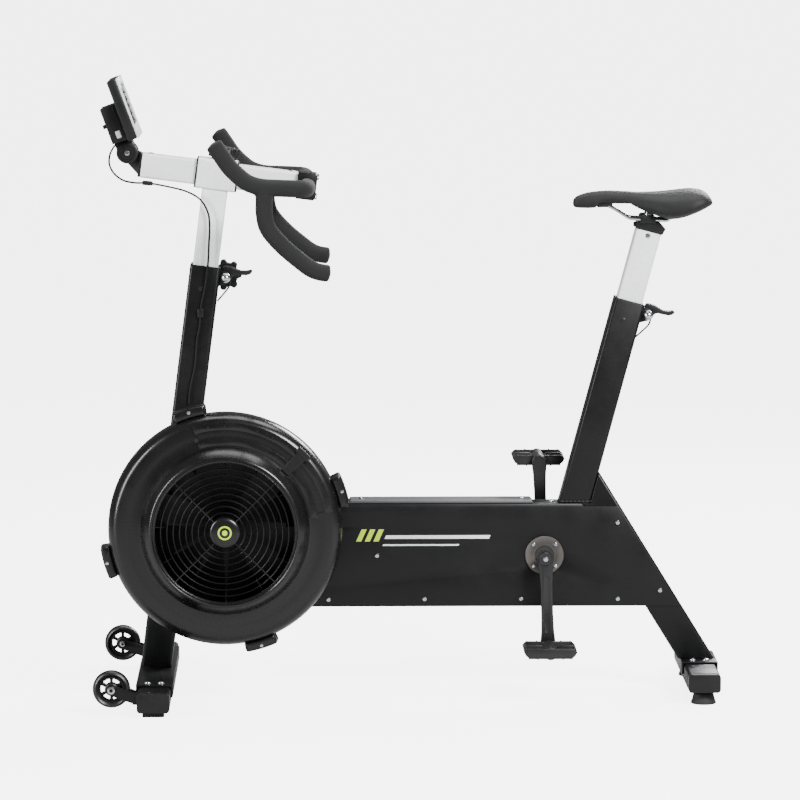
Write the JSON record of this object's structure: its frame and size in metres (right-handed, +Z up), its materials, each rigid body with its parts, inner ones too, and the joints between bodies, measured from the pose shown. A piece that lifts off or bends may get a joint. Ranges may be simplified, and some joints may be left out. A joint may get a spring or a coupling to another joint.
{
  "type": "exercise bike",
  "caption": "Air-resistance exercise bike with caged fan flywheel, boxed belt drive, cranks and pedals, adjustable saddle, sliding handlebar and monitor.",
  "frame": {"origin": "on the floor, under the centre of the bounding box, with the beam's mid-plane at Y 0", "axes": "+Z up, -X to the front (fan and transport wheels), +X to the rider's end, -Y to the fan's side"},
  "size_m": [1.2236, 0.602, 1.2181],
  "materials": {
    "black_paint": "satin black powder coat with a fine orange peel",
    "silver_paint": "satin silver-white powder coat",
    "black_plastic": "fine grained black nylon",
    "housing_plastic": "semi-gloss black ABS",
    "grey_plastic": "grained dark grey plastic",
    "pale_plastic": "satin pale grey plastic",
    "key_rubber": "smooth silicone keys",
    "pedal_plastic": "grained black resin",
    "rubber": "matt black rubber",
    "wheel_rubber": "black polyurethane wheel",
    "belt_rubber": "ribbed drive belt",
    "cable_rubber": "black cable sheath",
    "foam": "matt closed-cell foam sleeve",
    "saddle_cover": "black vinyl, fine grain",
    "steel": "turned steel",
    "bright_steel": "plated steel rod",
    "grey_steel": "grey plated pressing",
    "crank_metal": "satin black forged arm"
  },
  "bodies": {
    "frame": {"front_mast": "black_paint", "seat_mast": "black_paint", "rear_leg": "black_paint", "front_foot_tube": "black_paint", "front_foot_cap_left": "black_plastic", "front_foot_cap_right": "black_plastic", "rear_foot_tube": "black_paint", "rear_foot_cap_left": "black_plastic", "rear_foot_cap_right": "black_plastic", "front_pad_left": "rubber", "front_pad_right": "rubber", "front_foot_bracket": "black_paint", "rear_foot_bracket": "black_paint", "main_beam": "black_paint", "left_side_panel": "black_paint", "right_side_panel": "black_paint", "top_cover": "grey_plastic", "fan_housing_front": "housing_plastic", "fan_grille": "housing_plastic", "fan_housing_rear": "housing_plastic", "primary_belt": "belt_rubber", "secondary_belt": "belt_rubber", "left_bearing_plate": "grey_steel", "right_bearing_plate": "grey_steel", "cable": "cable_rubber"},
    "crankset": {"crank_spindle": "steel", "left_crank_arm": "crank_metal", "right_crank_arm": "crank_metal"},
    "left_pedal_body": {"left_pedal": "pedal_plastic"},
    "right_pedal_body": {"right_pedal": "pedal_plastic"},
    "jackshaft_body": {"jackshaft": "steel"},
    "flywheel_body": {"flywheel": "steel", "flywheel_shaft": "steel"},
    "damper_body": {"damper": "black_plastic"},
    "left_wheel": {"transport_wheel_left": "wheel_rubber"},
    "right_wheel": {"transport_wheel_right": "wheel_rubber"},
    "left_leveller": {"levelling_foot_left": "rubber"},
    "right_leveller": {"levelling_foot_right": "rubber"},
    "seat_post_body": {"seat_post": "silver_paint", "saddle_head": "black_paint"},
    "saddle_body": {"saddle": "saddle_cover", "saddle_rails": "bright_steel"},
    "seat_latch_body": {"seat_latch": "black_plastic"},
    "handlebar_latch_body": {"handlebar_latch": "black_plastic"},
    "post_knob_body": {"post_knob": "black_plastic"},
    "stem_knob_body": {"stem_knob": "black_plastic"},
    "handlebar_post_body": {"handlebar_post": "silver_paint", "stem_sleeve": "silver_paint"},
    "stem_body": {"stem_tube": "silver_paint", "handlebar_clamp": "black_paint", "left_handlebar": "foam", "right_handlebar": "foam", "monitor_arm": "black_paint"},
    "monitor_body": {"monitor_case": "black_plastic", "monitor_bezel": "pale_plastic"},
    "button_1_body": {"monitor_button_1": "key_rubber"},
    "button_2_body": {"monitor_button_2": "key_rubber"},
    "button_3_body": {"monitor_button_3": "key_rubber"},
    "button_4_body": {"monitor_button_4": "key_rubber"},
    "button_5_body": {"monitor_button_5": "key_rubber"}
  },
  "joints": [
    {"name": "crank_spin", "type": "hinge", "parent": "frame", "child": "crankset", "pos_m": [0.2696, 0, 0.275], "axis": [0, 1, 0], "continuous": true},
    {"name": "jackshaft_spin", "type": "hinge", "parent": "frame", "child": "jackshaft_body", "pos_m": [-0.08, 0, 0.285], "axis": [0, 1, 0], "continuous": true},
    {"name": "flywheel_spin", "type": "hinge", "parent": "frame", "child": "flywheel_body", "pos_m": [-0.358, 0, 0.343], "axis": [0, 1, 0], "continuous": true},
    {"name": "left_pedal_spin", "type": "hinge", "parent": "crankset", "child": "left_pedal_body", "pos_m": [0.2753, -0.14, 0.1031], "axis": [0, 1, 0], "continuous": true},
    {"name": "right_pedal_spin", "type": "hinge", "parent": "crankset", "child": "right_pedal_body", "pos_m": [0.2639, 0.14, 0.4469], "axis": [0, 1, 0], "continuous": true},
    {"name": "damper_turn", "type": "hinge", "parent": "frame", "child": "damper_body", "pos_m": [-0.358, 0, 0.343], "axis": [0, -1, 0], "range_deg": [-18, 54]},
    {"name": "left_wheel_spin", "type": "hinge", "parent": "frame", "child": "left_wheel", "pos_m": [-0.5759, -0.264, 0.0515], "axis": [0, 1, 0], "continuous": true},
    {"name": "right_wheel_spin", "type": "hinge", "parent": "frame", "child": "right_wheel", "pos_m": [-0.5759, 0.264, 0.0515], "axis": [0, 1, 0], "continuous": true},
    {"name": "left_leveller_screw", "type": "slide", "parent": "frame", "child": "left_leveller", "axis": [0, 0, 1], "range_m": [-0.006, 0.003]},
    {"name": "right_leveller_screw", "type": "slide", "parent": "frame", "child": "right_leveller", "axis": [0, 0, 1], "range_m": [-0.006, 0.003]},
    {"name": "seat_height", "type": "slide", "parent": "frame", "child": "seat_post_body", "axis": [0.2588, 0, 0.9659], "range_m": [-0.11, 0.12]},
    {"name": "saddle_fore_aft", "type": "slide", "parent": "seat_post_body", "child": "saddle_body", "axis": [0.9987, 0, -0.0514], "range_m": [-0.012, 0.012]},
    {"name": "seat_latch_turn", "type": "hinge", "parent": "frame", "child": "seat_latch_body", "pos_m": [0.47243, 0, 0.74967], "axis": [0, -1, 0], "range_deg": [0, 8], "stiffness_Nm_per_rad": 1.2, "springref_deg": -5.73},
    {"name": "handlebar_latch_turn", "type": "hinge", "parent": "frame", "child": "handlebar_latch_body", "pos_m": [-0.35735, 0, 0.82483], "axis": [0, -1, 0], "range_deg": [0, 8], "stiffness_Nm_per_rad": 1.2, "springref_deg": -5.73},
    {"name": "post_knob_turn", "type": "hinge", "parent": "frame", "child": "post_knob_body", "pos_m": [-0.35735, 0.034, 0.82483], "axis": [0, 1, 0], "range_deg": [-180, 180]},
    {"name": "handlebar_height", "type": "slide", "parent": "frame", "child": "handlebar_post_body", "axis": [0.1262, 0, 0.992], "range_m": [-0.13, 0.14], "deforming": ["cable"]},
    {"name": "stem_knob_turn", "type": "hinge", "parent": "handlebar_post_body", "child": "stem_knob_body", "pos_m": [-0.36177, 0, 1.05956], "axis": [0.1262, 0, 0.992], "range_deg": [-180, 180]},
    {"name": "stem_fore_aft", "type": "slide", "parent": "handlebar_post_body", "child": "stem_body", "axis": [0.992, 0, -0.1262], "range_m": [-0.08, 0.08], "deforming": ["cable"]},
    {"name": "monitor_tilt", "type": "hinge", "parent": "stem_body", "child": "monitor_body", "pos_m": [-0.5485, 0, 1.07], "axis": [0, 1, 0], "range_deg": [-25, 35], "deforming": ["cable"]},
    {"name": "button_1_press", "type": "slide", "parent": "monitor_body", "child": "button_1_body", "axis": [-0.9385, 0, -0.3453], "range_m": [0, 0.0012], "stiffness_N_per_m": 900, "springref_m": -0.0006},
    {"name": "button_2_press", "type": "slide", "parent": "monitor_body", "child": "button_2_body", "axis": [-0.9385, 0, -0.3453], "range_m": [0, 0.0012], "stiffness_N_per_m": 900, "springref_m": -0.0006},
    {"name": "button_3_press", "type": "slide", "parent": "monitor_body", "child": "button_3_body", "axis": [-0.9385, 0, -0.3453], "range_m": [0, 0.0012], "stiffness_N_per_m": 900, "springref_m": -0.0006},
    {"name": "button_4_press", "type": "slide", "parent": "monitor_body", "child": "button_4_body", "axis": [-0.9385, 0, -0.3453], "range_m": [0, 0.0012], "stiffness_N_per_m": 900, "springref_m": -0.0006},
    {"name": "button_5_press", "type": "slide", "parent": "monitor_body", "child": "button_5_body", "axis": [-0.9385, 0, -0.3453], "range_m": [0, 0.0012], "stiffness_N_per_m": 900, "springref_m": -0.0006}
  ],
  "couplings": [
    {"joint": "jackshaft_spin", "follows": "crank_spin", "ratio": 3.8636},
    {"joint": "flywheel_spin", "follows": "crank_spin", "ratio": 12.293}
  ]
}
